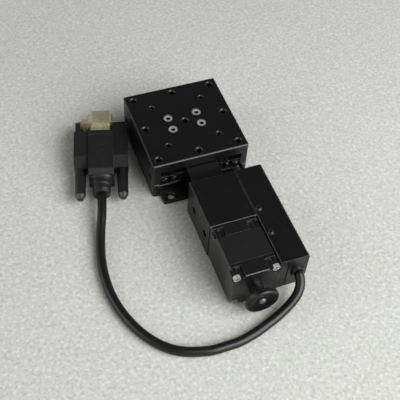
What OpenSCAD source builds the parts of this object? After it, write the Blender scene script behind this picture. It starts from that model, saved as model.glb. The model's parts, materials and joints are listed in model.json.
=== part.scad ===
// Motorised linear translation stage with crossed-roller guides, a 1 mm lead screw, a stepper
// motor with a hand knob, a limit-sensor box and a signal cable ending in a nine-way plug.
// X is the width, Y the travel with the motor at -Y, and Z is up. The origin is the centre
// of the base on its mounting face. All sizes are millimetres.

/* [Stage] */
// Width of the table and the base
stage_w = 60; // [58:1:76]
// Length of the table and the base along the travel
stage_l = 60; // [60:1:80]
// Height from the mounting face to the table top
stage_h = 27.5; // [27:0.5:32]
// Full travel of the table
travel = 20; // [10:1:20]
// Thickness of the table's top plate
plate_t = 6.6; // [6:0.1:7]
// Thickness of the table's side walls
wall_t = 4.5; // [4:0.1:5.5]
// Chamfer round the table top
top_chamfer = 0.6; // [0.3:0.1:1]
// Radius of the upright corners
corner_r = 1.5; // [0.5:0.1:3]

/* [Table holes] */
// Spacing of the outer M4 hole grid
outer_grid = 50; // [44:1:52]
// Spacing of the inner M3 hole grid
inner_grid = 32; // [28:1:36]
// Tapped diameter of the M4 holes
tap_m4 = 3.3; // [3.2:0.1:3.6]
// Tapped diameter of the M3 holes
tap_m3 = 2.5; // [2.4:0.1:2.8]
// Depth of the tapped holes in the table
tap_depth = 5.4; // [4:0.2:5.4]
// Distance of the nut bracket screws from the outer face of the ribs
bracket_screw_w_in = 4.4; // [4.2:0.1:5]
// Spacing of the nut bracket screws along the stage
bracket_screw_l = 9.4; // [8:0.2:10]

/* [Base] */
// Height of the base sides
lip_h = 10.5; // [9:0.5:10.5]
// Height of the floor between the ribs
floor_t = 4; // [3.5:0.1:5]
// Thickness of the ribs that carry the inner rails
rib_t = 3.8; // [3.6:0.1:4.2]
// Width of the mounting flanges
flange_w = 51; // [46:1:56]
// Reach of each mounting flange beyond the base
flange_reach = 7.5; // [7:0.5:9]
// Thickness of the mounting flanges
flange_t = 3; // [2:0.5:3.5]
// Diameter of the mounting holes
mount_d = 4.5; // [3.4:0.1:5.5]
// Spacing of the mounting holes across the stage
mount_w = 40; // [34:1:42]
// Distance from the base's end face to the mounting holes
mount_out = 4.2; // [4:0.1:4.4]

/* [Crossed-roller guides] */
// Width of one pair of rails
guide_w = 12; // [11:0.5:13]
// Height of the rails
rail_h = 6; // [5.6:0.2:6.4]
// Height of the rollers' centre line
guide_z = 13; // [12.8:0.1:13.4]
// Gap between the two rails of a pair
rail_gap = 0.6; // [0.5:0.1:0.8]
// Distance from the end of a rail to the end face of the base
rail_inset = 0.5; // [0.3:0.1:1]
// Diameter of the rollers
roller_d = 2; // [1.8:0.1:2.2]
// Number of rollers in one cage
roller_count = 10; // [6:1:10]
// Spacing of the rollers
roller_pitch = 4; // [3.5:0.1:4]
// Distance from the end face of the base to the first rail screw
rail_screw_end = 6; // [6:0.5:8]

/* [Lead screw] */
// Height of the screw axis
axis_z = 13.7; // [13.7:0.1:14.2]
// Outside diameter of the lead screw
screw_d = 6; // [5.5:0.1:6.4]
// Diameter of the bearing journal and of the motor shaft
journal_d = 5; // [4:0.5:5]
// Diameter of the screw's far journal
tail_d = 4; // [3:0.5:4]
// Outside diameter of the nut's barrel
nut_d = 9; // [8.8:0.1:9.4]
// Diameter of the nut's flange
nut_flange_d = 16; // [15.6:0.1:16.4]
// Thickness of the nut's flange
nut_flange_t = 2.5; // [2:0.5:2.5]
// Length of the nut bracket along the travel
bracket_l = 16; // [14:1:16]
// Outside diameter of the lead screw's bearings
bearing_d = 10; // [9.6:0.1:10.6]
// Width of one bearing
bearing_w = 4; // [3:0.5:4]
// Outside diameter of the far bearing
tail_bearing_d = 11; // [9:0.5:11]
// Length of the far bearing's support
support_l = 6.5; // [6:0.5:6.5]
// Distance from the far support to the end face of the base
support_inset = 1.5; // [1:0.5:2]

/* [Housings] */
// Length of the bearing housing outside the base
neck_l = 16.2; // [15:0.2:20]
// Length of the bearing housing inside the base
neck_in = 6.5; // [4:0.5:6.5]
// Height of the bearing housing's top
neck_top = 20; // [19.6:0.1:20.2]
// Width of the coupling housing
housing_w = 27.9; // [27.6:0.1:29]
// Length of the coupling housing
housing_l = 33.3; // [32:0.1:40]
// Height of the coupling housing's top
housing_top = 27.4; // [27:0.1:28]
// Height of the coupling housing's underside
housing_bottom = 0.4; // [0.2:0.1:1]
// Diameter of the coupling housing's bore and the motor's pilot
pilot_d = 22; // [21:0.5:22]
// Thickness of the coupling housing's front wall
front_wall_t = 4.6; // [4.4:0.1:5]
// Diameter of the access holes for the coupling screws
access_d = 5; // [3.5:0.5:6]

/* [Coupling] */
// Diameter of the coupling
coupling_d = 16; // [14:0.5:17]
// Length of the coupling
coupling_l = 23.2; // [21:0.1:23.2]
// Distance from the coupling's ends to its set screws
set_screw_in = 3.1; // [2.5:0.1:3.5]
// Width of the slits in the coupling
slit_w = 0.6; // [0.4:0.1:0.8]

/* [Motor] */
// Width across the motor's flats
motor_w = 27.2; // [27:0.1:27.4]
// Length of the motor
motor_l = 34.7; // [33:0.1:45]
// Chamfer on the motor's corners
motor_chamfer = 1.1; // [0.6:0.1:1.4]
// Length of the motor's front bell
front_bell_l = 7.5; // [7:0.1:9]
// Length of the motor's rear bell
rear_bell_l = 9; // [8.8:0.1:9.6]
// Spacing of the motor's bolts
bolt_pitch = 22.4; // [22:0.1:22.6]
// Outside diameter of the motor's bearings
motor_bearing_d = 13; // [11:0.5:14]
// Diameter of the rotor
rotor_d = 18; // [16:0.5:18.4]

/* [Knob] */
// Diameter of the knob
knob_d = 19; // [16:0.5:24]
// Thickness of the knob
knob_t = 3.2; // [3:0.1:5]
// Gap between the motor and the knob
knob_gap = 7.2; // [5:0.1:9]

/* [Sensor box] */
// Length of the sensor box
box_l = 66.6; // [60:0.2:68]
// Thickness of the sensor bracket's upright
bracket_t = 5.2; // [4.8:0.1:5.4]
// Thickness of the sensor bracket's foot
foot_t = 3.2; // [2.4:0.2:3.4]
// Height of the sensor box's underside
box_bottom = 1.6; // [1:0.1:1.8]
// Overhang of the cover beyond the side of the stage
cover_over = 0.8; // [0.5:0.1:2]
// Thickness of the cover's sheet
cover_t = 1; // [0.8:0.1:1.2]
// Outside radius of the cover's bend
cover_bend_r = 1.6; // [1.4:0.1:2]
// Distance of the first cover screw from the front of the box
cover_screw_a = 29.4; // [24:0.2:32]
// Distance of the second cover screw from the front of the box
cover_screw_b = 46.3; // [40:0.1:50]
// Thickness of the sensor flag
flag_t = 0.8; // [0.6:0.1:1]
// Width of the sensor flag
flag_w = 4; // [3:0.5:4]
// Reach of the sensor flag in front of the base
flag_reach = 36; // [32:1:40]

/* [Cable] */
// Diameter of the cable
cable_d = 5.4; // [4.8:0.1:5.4]
// Distance of the cable outlet from the side of the stage
outlet_in = 4.7; // [4.7:0.1:5.2]
// Height of the cable outlet
outlet_z = 14.3; // [12:0.1:16]
// Outside diameter of the grommet's flanges
grommet_d = 8.4; // [8.2:0.1:8.8]

/* [Plug] */
// Position of the plug's flange across the stage
plug_x = -46; // [-60:1:-46]
// Position of the plug's flange along the stage
plug_y = 27; // [10:1:40]
// Turn of the plug about the upright axis
plug_turn = -15; // [-20:1:0]
// Thickness of the hood at its raised middle
hood_t = 15.5; // [15:0.1:16.5]
// Thickness of the hood's sides
hood_side_t = 12.4; // [12:0.1:13]
// Width of the hood
hood_w = 32.6; // [32:0.1:34]
// Width of the hood's raised middle
hood_mid_w = 14.8; // [14:0.1:15.6]
// Length of the hood behind its ears
hood_l = 26.9; // [26:0.1:30]
// Length of the hood's ears
ear_l = 7.3; // [6:0.1:8]
// Width of the plug's metal flange
shell_flange_w = 30.8; // [30.6:0.1:31]
// Height of the plug's metal flange
shell_flange_h = 12.5; // [12:0.1:12.6]
// Width of the nine-way shell
shell_w = 16.4; // [16:0.1:17]
// Height of the nine-way shell
shell_h = 8.4; // [8:0.1:8.6]
// Reach of the shell in front of the flange
shell_reach = 11; // [9:0.5:12]
// Spacing of the thumbscrews
thumb_pitch = 25; // [24.9:0.1:25.2]
// Diameter of the thumbscrews' grips
thumb_d = 6.9; // [6.4:0.1:7]
// Length of the thumbscrews' grips
thumb_l = 18.5; // [12:0.5:19]
// Length of the strain relief
relief_l = 11; // [10.5:0.1:14]

/* [Fits] */
// Radial clearance of a running fit
run_gap = 0.04; // [0.02:0.01:0.08]
// Radial clearance round a fastener or a seated part
seat_gap = 0.05; // [0.03:0.01:0.08]
// Gap below the table's side walls
foot_gap = 0.4; // [0.3:0.1:0.6]
// Gap between faces that pass each other
pass_gap = 0.3; // [0.25:0.05:0.4]

/* [Hidden] */
$fn = 48;
over = 1;                                   // how far a cutter runs past a face

// Colours
anodised = [0.10, 0.10, 0.11];
dark_plastic = [0.13, 0.13, 0.14];
screw_black = [0.16, 0.16, 0.17];
bright_steel = [0.72, 0.72, 0.72];
rail_steel = [0.58, 0.58, 0.60];
bronze = [0.72, 0.56, 0.30];
copper = [0.75, 0.42, 0.22];
board_green = [0.10, 0.36, 0.20];
plated = [0.76, 0.70, 0.58];
insert_cream = [0.85, 0.82, 0.72];

// Stage, along X and Z
half_w = stage_w / 2;
half_l = stage_l / 2;
plate_z = stage_h - plate_t;
wall_x = half_w - wall_t;                   // inner face of the table wall, back of the outer rail
rib_x = wall_x - guide_w;                   // outer face of the rib, back of the inner rail
channel_x = rib_x - rib_t;
rail_w = (guide_w - rail_gap) / 2;
inner_rail_x = rib_x + rail_w;
outer_rail_x = wall_x - rail_w;
roller_x = (inner_rail_x + outer_rail_x) / 2;
ledge_z = guide_z - rail_h / 2;
rail_top = guide_z + rail_h / 2;
rib_top = rail_top + 1;
pocket_z = ledge_z - 2 * pass_gap;
lip_x = wall_x + foot_gap;
rail_y = half_l - rail_inset;
channel_gap = 0.2;                          // gap between the ribs and what stands between them

base_edge = 0.5;                            // chamfer of the base's end edges and holes

// Stage, along Y
front_y = -half_l;
housing_front = front_y - neck_l;
motor_front = housing_front - housing_l;
motor_back = motor_front - motor_l;
box_back = housing_front - box_l;
neck_back = front_y + neck_in;
shoulder_y = housing_front + 2 * bearing_w;
support_back = half_l - support_inset;
support_front = support_back - support_l;
tail_bearing_y = support_back - bearing_w;
thread_end = support_front - 2 * pass_gap;

// Screws: [shank diameter, head diameter, head height]
m2 = [2, 3.8, 1.4];
m2_cap = [2, 3.2, 1.2];
m25_cap = [2.5, 4.5, 2.4];
m25_button = [2.5, 4.4, 1.4];
m2_button = [2, 3.8, 1.2];
m3_cap = [3, 5.5, 3];
wall_seat = 1.5;                            // metal left under a sunk screw head
rib_seat = 1.2;
rail_screw_in = 3.6;                        // thread length in a rail
end_screw_in = 4;
rail_screw_pitch = (stage_l - 2 * rail_screw_end) / 3;
rail_screw_ys = [for (k = [-1.5 : 1 : 1.5]) k * rail_screw_pitch];

// Nut and its bracket
bracket_gap_z = 0.4;                        // gap between the nut bracket and the ribs
boss_x = channel_x - 1;
bracket_x = rib_x - 1.1;
bracket_screw_w = 2 * (rib_x - bracket_screw_w_in);
boss_bottom = axis_z - 6.5;
nut_screw_r = nut_flange_d / 2 - 1.7;
nut_y = -bracket_l / 2;
nut_flat = plate_z - axis_z - pass_gap;     // height of the nut flange above the axis

// Bearing and coupling housings
neck_x = channel_x - channel_gap;
housing_screw_r = bearing_d / 2 + 1.95;
housing_screw_turns = [30, 150, 225, 315];
housing_screw_in = 5;
lock_nut_d = 8;
lock_nut_l = 3;
lock_gap = 0.4;                             // radial gap round the lock nut
lock_bore_d = lock_nut_d + 2 * lock_gap;
bore_d = pilot_d + 2 * seat_gap;
pilot_t = 1.8;
housing_x = housing_w / 2;

// Coupling
coupling_front = housing_front - front_wall_t - m25_cap[2] - pass_gap;
coupling_back = coupling_front - coupling_l;
set_screw_ys = [coupling_front - set_screw_in, coupling_back + set_screw_in];
set_screw_d = 3;
coupling_mid = (coupling_front + coupling_back) / 2;

// Motor
motor_x = motor_w / 2;
front_bell_back = motor_front - front_bell_l;
rear_bell_front = motor_back + rear_bell_l;
bolt_d = 2.5;
bolt_head = [4.2, 2];                       // diameter and height
bolt_sink = 2.6;                            // from the motor's back to the seats of the bolt heads
bolt_in = 5;                                // bolt length in the coupling housing
bolt_notch_d = 5.4;
bell_plate_t = 2;                           // full square part of each bell
recess_in = 6.8;                            // from the axis to the shallow recesses of the bells
recess_t = 1.5;
rear_edge = 0.4;
shaft_boss_d = 8.5;
shaft_boss_l = 2.5;
motor_bearing_front = front_bell_back + 5.5;
motor_bearing_back = rear_bell_front - 5.5;
rotor_gap = 0.25;
coil_gap = 0.2;
slot_out_r = 12.4;
end_turn_d = 2 * (slot_out_r + coil_gap);   // recess for the end turns in both bells
slot_w = 3.6;
slot_count = 8;
end_turn_l = 1;

// Knob
knob_back = motor_back - knob_gap;
knob_face = knob_back - knob_t;
hub_d = 8;
hub_l = 4.2;
dish_d = knob_d - 3.6;
dish_floor_d = 8.4;
dish_t = 0.8;
knob_web = 1.2;                             // metal under the head of the knob's screw
shaft_end = knob_face + dish_t + knob_web;
knob_screw_in = 6;

// Sensor box
bracket_x0 = housing_x;
bracket_x1 = bracket_x0 + bracket_t;
cover_x1 = half_w + cover_over;
box_top = housing_top;
foot_top = box_bottom + foot_t;
cover_screw_x = (bracket_x0 + bracket_x1) / 2;
cover_screw_ys = [housing_front - cover_screw_a, housing_front - cover_screw_b];
bracket_screw_z = axis_z + 8.5;
bracket_screw_in_y = [9, 10];               // from the housing's front and back faces
bracket_screw_ys = [housing_front - bracket_screw_in_y[0], motor_front + bracket_screw_in_y[1]];
seam_step = 0.4;                            // the bracket stands back from the cover by this much
bracket_back = box_back + seam_step;
flag_x = wall_x - pass_gap - flag_t / 2;    // middle of the flag's thickness
flag_tip = front_y - flag_reach;
tab_w = 5.2;
sensor_ys = [flag_tip + travel / 2, flag_tip - travel / 2];
sensor_gap = 2.4;
sensor_arm = 2.1;
sensor_l = 4.4;
board_edge = 0.5;
standoff_h = 0.8;
board_t = 1.6;
board_z = foot_top + standoff_h;
board_top = board_z + board_t;
sensor_top = guide_z + 2.6;
board_x0 = bracket_x1 + board_edge;
board_x1 = cover_x1 - cover_t - board_edge;
board_front = housing_front - 4;
board_back_gap = 12;                        // from the back of the box to the board
board_back = box_back + board_back_gap;
board_screw_edge = 4;
board_screw_pitch = 12;
board_screw_ys = [for (k = [0, 1]) board_back + board_screw_edge + k * board_screw_pitch];
board_screw_x = (board_x0 + board_x1) / 2;

// Plug, in its own frame: +Y towards the mating face, the flange's front face at y = 0
plug_z = hood_t / 2;
hood_x = hood_w / 2;
hood_mid_x = hood_mid_w / 2;
hood_side_z = hood_side_t / 2;
ear_back = -ear_l - 0.8;
hood_back = ear_back - hood_l;
shell_t = 0.5;
shell_flange_t = 0.8;
flange_corner_r = 2;
shell_corner_r = 2.4;
shell_lean = 10;                            // lean of the shell's sides
insert_gap = 0.05;
jack_d = 2.84;                              // thread of the thumbscrews
tunnel_gap = 0.08;
contact_pitch = 2.77;
contact_row = 2.84;
contact_d = 1.1;
contact_l = 5;
mid_overhang = 7.5;                         // how far the raised middle goes beyond the hood's back
mid_slope_l = 3.3;
mid_drop = 1.9;
mid_groove = [3.8, 0.4];                    // distance from the front of the hood, and size
window_left = 12.6;                         // reach of the hood's window to the left
mid_back = hood_back - mid_overhang;
relief_back = mid_back - relief_l;
shoulder_l = 7;                             // sloped part of the hood's sides
shoulder_drop = 3.4;
relief_d0 = 11.6;
relief_d1 = 9.6;
relief_groove = 1.4;
relief_pitch = 3.9;
relief_grooves = 2;

// Cable outlet and cable route, from the grommet to the plug
outlet_x = half_w - outlet_in;
grommet_hole_d = 7;
grommet_face = 1.5;                         // how far the grommet stands out of the box
cable_r = cable_d / 2;
cable_sides = 10;
function plug_point(u, v) = [plug_x - u * sin(plug_turn) + v * cos(plug_turn),
    plug_y + u * cos(plug_turn) + v * sin(plug_turn), plug_z];
cable_route = concat(
    [[outlet_x, box_back - grommet_face, outlet_z]],
    [[25, -117.4, 13.2], [23.8, -120.6, 11.4], [21.4, -123.4, 9.4],
    [17.8, -125.8, 7.4], [13, -128, 5.4], [7.2, -130.2, 3.8], [0, -132.6, 3],
    [-9, -135.4, 2.8], [-20, -137.2, 2.8], [-30, -137.2, 2.8], [-40.4, -135.2, 2.8],
    [-49.4, -131.6, 2.8], [-57, -125.6, 2.8], [-63.6, -117, 2.8], [-68.8, -106, 2.8],
    [-72, -94.5, 2.8], [-73.2, -82, 2.8], [-72.4, -69, 2.8], [-70, -57.3, 3],
    [-66.6, -46, 4.4], [-63.2, -36.6, 6.6]],
    [plug_point(relief_back, 0)]);
cable_leave = [0, -1, 0];                   // direction out of the grommet
cable_arrive = [-sin(plug_turn), cos(plug_turn), 0];

// Values shared by several pieces
end_screw_share = 0.55;                     // place of the rail's end screw across the rail
foot_seat = 1.2;
foot_screw_x = 6;
foot_screw_in = 4;
neck_foot_y = neck_back - 3.2;
support_foot_y = (support_front + support_back) / 2;
housing_feet = [for (x = [-foot_screw_x, foot_screw_x], y = [neck_foot_y, support_foot_y]) [x, y]];
housing_edge = 0.4;
bracket_screw_in = 5;
bolt_reach = motor_l - bolt_sink + bolt_in;
shaft_gap = 2;                              // gap between the two shafts in the coupling
rotor_in = 1;
rotor_mid = (rear_bell_front + front_bell_back) / 2;
knob_edge = 0.6;
bracket_seat_x = bracket_x0 + 1.6;
cover_screw_in = 5;
flag_slot = 3.2;
shell_in = 1;                               // how far the shell reaches into the hood
grip_y = ear_back - 13.2;
grip_r = 1.8;
jack_reach = 4.5;
thumb_cap = 2.4;
flute_count = 14;
flute_d = 0.9;
tap_mouth = 0.2;                            // depth of the chamfer of a tapped hole, as a share of its bore
table_seat_z = stage_h - m3_cap[2] - 0.4;
bracket_bottom = rib_top + bracket_gap_z;
nut_screw_in = 4;
slit_zone = 5;
slit_pitch = 2.4;
slit_web = 2.4;
set_screw_l = 3.5;
cage_t = rail_gap - 2 * 0.1;
cage_h = 5;
roller_slack = 0.1;
roller_l = roller_d - 0.1;
roller_ys = [for (k = [0 : roller_count - 1]) (k - (roller_count - 1) / 2) * roller_pitch];
cage_y = roller_count * roller_pitch / 2 + 1;

// ---------------------------------------------------------------- helpers

module block(x, y, z) {
    translate([x[0], y[0], z[0]]) cube([x[1] - x[0], y[1] - y[0], z[1] - z[0]]);
}

module both_sides() {
    children();
    mirror([1, 0, 0]) children();
}

// A rod along Y between two ends
module rod_y(d, y0, y1) {
    translate([0, y0, 0]) rotate([-90, 0, 0]) cylinder(h = y1 - y0, d = d);
}

// A rod along X between two ends
module rod_x(d, x0, x1) {
    translate([x0, 0, 0]) rotate([0, 90, 0]) cylinder(h = x1 - x0, d = d);
}

// An XZ profile swept along Y between two ends
module sweep_y(y0, y1) {
    translate([0, y1, 0]) rotate([90, 0, 0]) linear_extrude(y1 - y0) children();
}

// Points of an arc
function arc(x, y, r, a0, a1, n = 6) =
    [for (k = [0 : n]) [x + r * cos(a0 + (a1 - a0) * k / n), y + r * sin(a0 + (a1 - a0) * k / n)]];

module rounded_square(w, l, r) {
    polygon(concat(arc(w / 2 - r, l / 2 - r, r, 0, 90), arc(r - w / 2, l / 2 - r, r, 90, 180),
        arc(r - w / 2, r - l / 2, r, 180, 270), arc(w / 2 - r, r - l / 2, r, 270, 360)));
}

module chamfered_square(w, c) {
    h = w / 2;
    polygon([[h, c - h], [h, h - c], [h - c, h], [c - h, h], [-h, h - c], [-h, c - h],
        [c - h, -h], [h - c, -h]]);
}

// Cap screw with a hex socket: the head stands on z = 0 and the shank goes down
module cap_screw(size, l, socket = 0.55) {
    difference() {
        union() {
            cylinder(h = size[2], d = size[1]);
            translate([0, 0, -l]) cylinder(h = l, d = size[0]);
        }
        translate([0, 0, size[2] * (1 - socket)])
            cylinder(h = size[2] * socket + over, d = size[0] * 0.96, $fn = 6);
    }
}

// Button head screw with a domed head and a hex socket
module button_screw(size, l) {
    dome_r = (pow(size[1] / 2, 2) + pow(size[2], 2)) / (2 * size[2]);
    difference() {
        union() {
            intersection() {
                translate([0, 0, size[2] - dome_r]) sphere(r = dome_r);
                cylinder(h = size[2], d = size[1]);
            }
            translate([0, 0, -l]) cylinder(h = l, d = size[0]);
        }
        translate([0, 0, size[2] * 0.4]) cylinder(h = size[2], d = size[0] * 0.8, $fn = 6);
    }
}

// Hole for a screw with a sunk head: the seat is at z = 0
module sunk_hole(size, l, mouth) {
    cylinder(h = mouth, d = size[1] + 4 * seat_gap);
    translate([0, 0, -l]) cylinder(h = l + seat_gap, d = size[0] + 2 * seat_gap);
}

// Tapped hole with a chamfered mouth at z = 0, going down
module tapped_hole(d, depth) {
    translate([0, 0, -depth]) cylinder(h = depth + over, d = d);
    mouth = tap_mouth * d;
    translate([0, 0, -mouth]) cylinder(h = 2 * mouth, d1 = d, d2 = d + 4 * mouth);
}

// A tube along Y
module tube_y(d, bore, y0, y1) {
    difference() {
        rod_y(d, y0, y1);
        rod_y(bore, y0 - over, y1 + over);
    }
}

// A closed ball bearing along Y with a recessed shield on each face
module bearing(d, bore, y, w) {
    shield_in = 0.25;
    ring_t = (d - bore) * 0.14;
    difference() {
        tube_y(d - 2 * seat_gap, bore + 2 * run_gap, y, y + w);
        tube_y(d - 2 * ring_t, bore + 2 * ring_t, y - over, y + shield_in);
        tube_y(d - 2 * ring_t, bore + 2 * ring_t, y + w - shield_in, y + w + over);
    }
}

// Cutter for a 45 degree chamfer of an edge along Y
module edge_cut(c, y0, y1) {
    side = c * sqrt(2);
    translate([0, (y0 + y1) / 2, 0]) rotate([0, 45, 0])
        cube([side, y1 - y0 + 2 * over, side], center = true);
}

// Cutter for a 45 degree chamfer of an edge along X, centred on x = 0
module edge_cut_x(c, w) {
    side = c * sqrt(2);
    rotate([45, 0, 0]) cube([w + 2 * over, side, side], center = true);
}

module on_axis() {
    translate([0, 0, axis_z]) children();
}

// ---------------------------------------------------------------- base and inner rails

module base_profile() {
    right = [[channel_x, floor_t], [channel_x, rib_top], [rib_x, rib_top], [rib_x, ledge_z],
        [inner_rail_x, ledge_z], [inner_rail_x, pocket_z], [lip_x, pocket_z], [lip_x, lip_h],
        [half_w, lip_h], [half_w, 0]];
    left = [for (k = [len(right) - 1 : -1 : 0]) [-right[k][0], right[k][1]]];
    polygon(concat(right, left));
}

module base() {
    color(anodised) difference() {
        union() {
            intersection() {
                sweep_y(-half_l, half_l) base_profile();
                linear_extrude(stage_h) rounded_square(stage_w, stage_l, corner_r);
            }
            linear_extrude(flange_t)
                rounded_square(flange_w, stage_l + 2 * flange_reach, corner_r);
        }
        for (x = [-mount_w / 2, mount_w / 2], y = [-half_l - mount_out, half_l + mount_out])
            translate([x, y, -over]) cylinder(h = flange_t + 2 * over, d = mount_d);
        for (x = [-mount_w / 2, mount_w / 2], y = [-half_l - mount_out, half_l + mount_out])
            translate([x, y, flange_t - base_edge])
                cylinder(h = 2 * base_edge, d1 = mount_d, d2 = mount_d + 4 * base_edge);
        both_sides() for (y = [-half_l, half_l]) {
            translate([(half_w + lip_x) / 2, y, lip_h]) edge_cut_x(base_edge, wall_t);
            translate([(rib_x + lip_x) / 2 + over, y, pocket_z])
                edge_cut_x(base_edge, lip_x - rib_x - 2 * over);
        }
        both_sides() for (y = rail_screw_ys)
            translate([rib_x - rib_seat, y, guide_z]) rotate([0, -90, 0])
                sunk_hole(m2_cap, rib_seat + over, rib_t + over);
        for (screw = housing_feet) translate([screw[0], screw[1], floor_t - foot_seat]) rotate([180, 0, 0])
            sunk_hole(m25_cap, foot_seat + over, floor_t + over);
    }
}

// Rail on the right-hand side with its V groove towards side = +1 or -1, for screws of shank d
module rail(x, side, back_x, d) {
    groove = roller_d + 2 * run_gap;
    difference() {
        block([x, x + rail_w], [-rail_y, rail_y], [ledge_z, rail_top]);
        translate([roller_x, 0, guide_z]) rotate([0, 45, 0])
            cube([groove, stage_l + 2 * over, groove], center = true);
        for (y = rail_screw_ys) translate([back_x, y, guide_z]) rotate([0, side * 90, 0])
            translate([0, 0, -over]) cylinder(h = rail_screw_in + over, d = d + 2 * seat_gap);
        for (y = [-rail_y, rail_y])
            translate([back_x + side * rail_w * end_screw_share, y, guide_z])
                rod_y(m2_button[0] + 2 * seat_gap, -end_screw_in - seat_gap, end_screw_in + seat_gap);
    }
}

module inner_rail() {
    color(rail_steel) rail(rib_x, 1, rib_x, m2_cap[0]);
}

module inner_rail_right() {
    inner_rail();
}

module inner_rail_left() {
    mirror([1, 0, 0]) inner_rail();
}

module inner_rail_screws() {
    color(screw_black) both_sides() for (y = rail_screw_ys)
        translate([rib_x - rib_seat, y, guide_z]) rotate([0, -90, 0])
            cap_screw(m2_cap, rib_seat + rail_screw_in - seat_gap);
}

// End screw of a rail on its front (end = -1) or rear (end = 1) face, over a plate of thickness t
module rail_end_screw(x, end, t) {
    translate([x, end * (rail_y + t), guide_z]) rotate([-end * 90, 0, 0])
        button_screw(m2_button, end_screw_in + t - seat_gap);
}

module inner_rail_end_screws() {
    color(screw_black) both_sides() for (end = [-1, 1])
        rail_end_screw(rib_x + rail_w * end_screw_share, end, 0);
}

// ---------------------------------------------------------------- bearings and supports

module bearing_housing() {
    color(anodised) difference() {
        block([-neck_x, neck_x], [housing_front, neck_back], [floor_t, neck_top]);
        on_axis() {
            rod_y(bearing_d, housing_front - over, shoulder_y);
            rod_y(screw_d + 1.5, shoulder_y - over, neck_back + over);
            for (turn = housing_screw_turns) rotate([0, -turn, 0]) translate([housing_screw_r, 0, 0])
                rod_y(m25_cap[0] + 2 * seat_gap, housing_front - over,
                    housing_front + housing_screw_in + seat_gap);
        }
        for (x = [-foot_screw_x, foot_screw_x]) foot_tap(x, neck_foot_y);
    }
}

module foot_tap(x, y) {
    translate([x, y, floor_t - over])
        cylinder(h = foot_screw_in + over + seat_gap, d = m25_cap[0] + 2 * seat_gap);
}

module foot_screws(y) {
    color(screw_black) for (x = [-foot_screw_x, foot_screw_x])
        translate([x, y, floor_t - foot_seat]) rotate([180, 0, 0])
            cap_screw(m25_cap, foot_seat + foot_screw_in);
}

module bearing_housing_screws() {
    foot_screws(neck_foot_y);
}

module screw_bearings() {
    color(bright_steel) on_axis()
        for (k = [0, 1]) bearing(bearing_d, journal_d, housing_front + k * bearing_w, bearing_w);
}

module rear_support() {
    color(anodised) difference() {
        block([-neck_x, neck_x], [support_front, support_back], [floor_t, rib_top]);
        on_axis() {
            rod_y(tail_bearing_d, tail_bearing_y, support_back + over);
            rod_y(tail_d + 2, support_front - over, tail_bearing_y + over);
        }
        for (x = [-foot_screw_x, foot_screw_x]) foot_tap(x, support_foot_y);
    }
}

module rear_support_screws() {
    foot_screws(support_foot_y);
}

module tail_bearing() {
    color(bright_steel) on_axis() bearing(tail_bearing_d, tail_d, tail_bearing_y, bearing_w);
}

// ---------------------------------------------------------------- coupling housing

module coupling_housing() {
    color(anodised) difference() {
        block([-housing_x, housing_x], [motor_front, housing_front], [housing_bottom, housing_top]);
        both_sides() translate([housing_x, 0, housing_top])
            edge_cut(housing_edge, motor_front, housing_front);
        for (y = [motor_front, housing_front]) translate([0, y, housing_top])
            edge_cut_x(housing_edge, housing_w);
        on_axis() {
            rod_y(bore_d, motor_front - over, housing_front - front_wall_t);
            rod_y(lock_bore_d, motor_front, housing_front + over);
            for (turn = housing_screw_turns) rotate([0, -turn, 0]) translate([housing_screw_r, 0, 0])
                rod_y(m25_cap[0] + 2 * seat_gap, housing_front - front_wall_t - over, housing_front + over);
            for (y = set_screw_ys) translate([0, y, 0]) rod_x(access_d, -housing_x - over, 0);
            motor_bolt_places() rod_y(bolt_d + 2 * seat_gap, motor_front - over,
                motor_front + bolt_in + seat_gap);
        }
        for (y = bracket_screw_ys) translate([0, y, bracket_screw_z])
            rod_x(m3_cap[0] + 2 * seat_gap, housing_x - bracket_screw_in - seat_gap, housing_x + over);
    }
}

module housing_screws() {
    color(screw_black) on_axis() for (turn = housing_screw_turns) rotate([0, -turn, 0])
        translate([housing_screw_r, housing_front - front_wall_t, 0]) rotate([90, 0, 0])
            cap_screw(m25_cap, front_wall_t + housing_screw_in);
}

// ---------------------------------------------------------------- motor

module motor_bolt_places() {
    for (x = [-1, 1], z = [-1, 1]) translate([x * bolt_pitch / 2, 0, z * bolt_pitch / 2]) children();
}

module motor_slice(y0, y1) {
    on_axis() sweep_y(y0, y1) chamfered_square(motor_w, motor_chamfer);
}

// Shallow recesses over the bolts in the upper and lower faces of a bell
module bell_recesses(y0, y1) {
    for (x = [0, 1], z = [0, 1]) mirror([x, 0, 0]) mirror([0, 0, z])
        block([recess_in, motor_x + over], [y0, y1], [motor_x - recess_t, motor_x + over]);
}

module bolt_holes(y0, y1) {
    on_axis() motor_bolt_places() rod_y(bolt_d + 2 * seat_gap, y0 - over, y1 + over);
}

module motor_front_bell() {
    color(screw_black) difference() {
        union() {
            motor_slice(front_bell_back, motor_front);
            on_axis() rod_y(pilot_d, motor_front - over, motor_front + pilot_t);
        }
        bolt_holes(front_bell_back, motor_front);
        on_axis() {
            rod_y(journal_d + 1, front_bell_back, motor_front + pilot_t + over);
            rod_y(motor_bearing_d, front_bell_back - over, motor_bearing_front);
            rod_y(end_turn_d, front_bell_back - over, front_bell_back + end_turn_l);
            bell_recesses(front_bell_back - over, motor_front - bell_plate_t);
        }
    }
}

module slot_places() {
    for (k = [0 : slot_count - 1]) rotate([0, (k + 0.5) * 360 / slot_count, 0]) children();
}

module motor_stator() {
    color(anodised) difference() {
        motor_slice(rear_bell_front, front_bell_back);
        bolt_holes(rear_bell_front, front_bell_back);
        on_axis() {
            rod_y(rotor_d + 2 * rotor_gap, rear_bell_front - over, front_bell_back + over);
            slot_places() block([0, slot_out_r], [rear_bell_front - over, front_bell_back + over],
                [-slot_w / 2, slot_w / 2]);
        }
    }
}

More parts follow.
